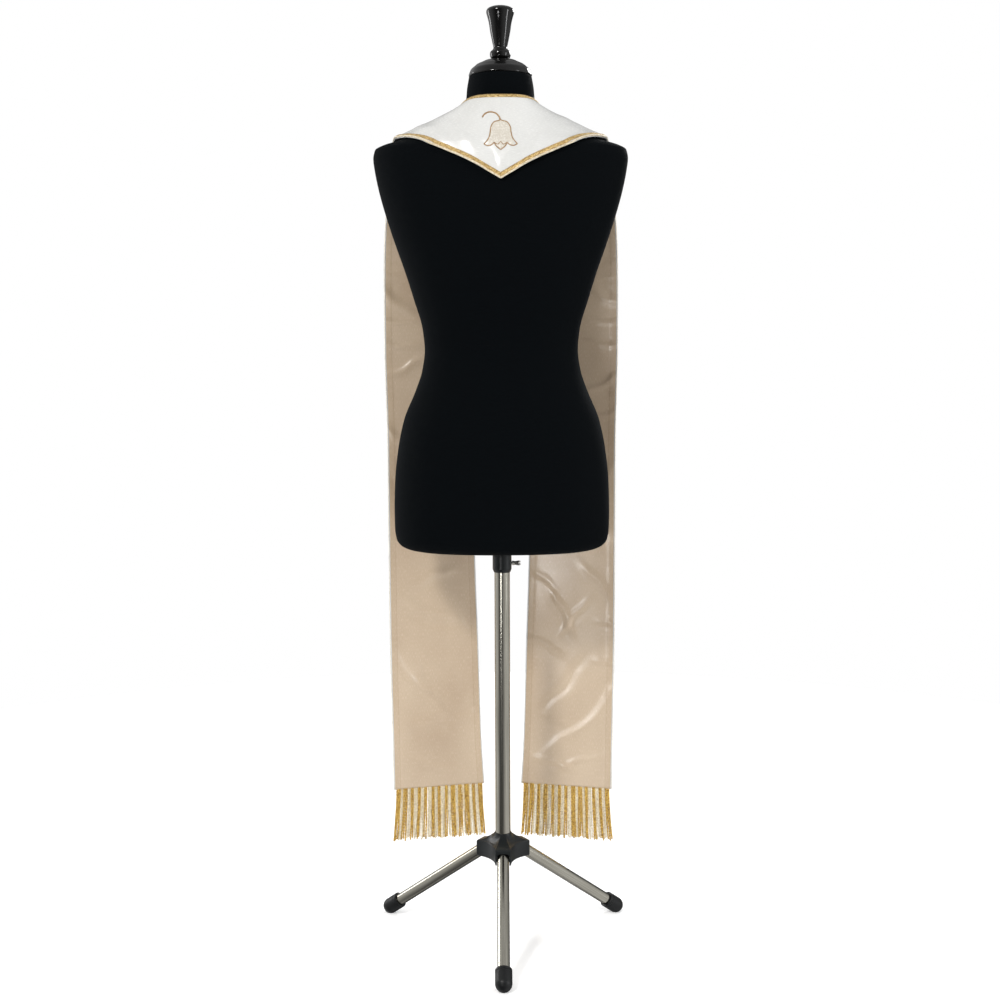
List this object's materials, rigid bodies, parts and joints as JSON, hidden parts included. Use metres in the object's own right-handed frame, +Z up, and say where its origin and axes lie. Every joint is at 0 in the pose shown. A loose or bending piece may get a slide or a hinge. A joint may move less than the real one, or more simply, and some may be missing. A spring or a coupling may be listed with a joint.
{
  "type": "clerical stole on a dress form",
  "caption": "White satin clerical stole with a V-shaped back, gold braid, champagne lining and fringed ends, on a limbless dress form with a tripod stand.",
  "frame": {"origin": "on the floor under the centre of the part's box", "axes": "+Z up, +Y towards the back of the wearer, +X to the wearer's left"},
  "size_m": [0.4152, 0.3842, 1.507],
  "materials": {
    "jersey": "matt black knitted jersey",
    "lacquer": "glossy black lacquer",
    "steel": "brushed along the tube",
    "screw_steel": "black nickel",
    "plastic": "moulded, slightly grained",
    "rubber": "matt",
    "satin": "white satin",
    "champagne": "champagne lining satin",
    "gold_braid": "woven metallic braid",
    "cream_cord": "twisted cream cord",
    "fringe": "twisted gold and cream bullion",
    "embroidery": "satin stitch thread"
  },
  "bodies": {
    "stand": {"pole": "steel", "collar": "plastic", "hub": "plastic", "pivot_pin_1": "steel", "pivot_pin_2": "steel", "pivot_pin_3": "steel"},
    "leg_back": {"leg_1": "steel", "foot_1": "rubber"},
    "leg_right": {"leg_2": "steel", "foot_2": "rubber"},
    "leg_left": {"leg_3": "steel", "foot_3": "rubber"},
    "clamp_screw": {"thumb_screw": "screw_steel"},
    "mast": {"inner_tube": "steel"},
    "form": {"torso": "jersey", "neck_cap": "lacquer", "finial": "lacquer", "back_yoke": "satin", "neckline_braid": "gold_braid", "yoke_outer_braid": "gold_braid", "yoke_edge_cord": "cream_cord", "front_panel_left": "satin", "front_panel_right": "satin", "lining_left": "champagne", "lining_right": "champagne", "inner_braid_left": "gold_braid", "inner_braid_right": "gold_braid", "outer_braid_left": "gold_braid", "outer_braid_right": "gold_braid", "edge_cord_left": "cream_cord", "edge_cord_right": "cream_cord", "fringe_left": "fringe", "fringe_right": "fringe"}
  },
  "joints": [
    {"name": "form_height", "type": "slide", "parent": "stand", "child": "mast", "axis": [0, 0, 1], "range_m": [0, 0.3]},
    {"name": "form_turn", "type": "hinge", "parent": "mast", "child": "form", "pos_m": [0, -0.04551, 0.641], "axis": [0, 0, 1], "continuous": true},
    {"name": "leg_back_fold", "type": "hinge", "parent": "stand", "child": "leg_back", "pos_m": [0, -0.00951, 0.1453], "axis": [-1, 0, 0], "range_deg": [0, 54]},
    {"name": "leg_right_fold", "type": "hinge", "parent": "stand", "child": "leg_right", "pos_m": [-0.03118, -0.06351, 0.1453], "axis": [0.5, -0.866, 0], "range_deg": [0, 54]},
    {"name": "leg_left_fold", "type": "hinge", "parent": "stand", "child": "leg_left", "pos_m": [0.03118, -0.06351, 0.1453], "axis": [0.5, 0.866, 0], "range_deg": [0, 54]},
    {"name": "clamp_screw_turn", "type": "hinge", "parent": "stand", "child": "clamp_screw", "pos_m": [-0.02, -0.04551, 0.6245], "axis": [-1, 0, 0], "range_deg": [-360, 0]}
  ]
}
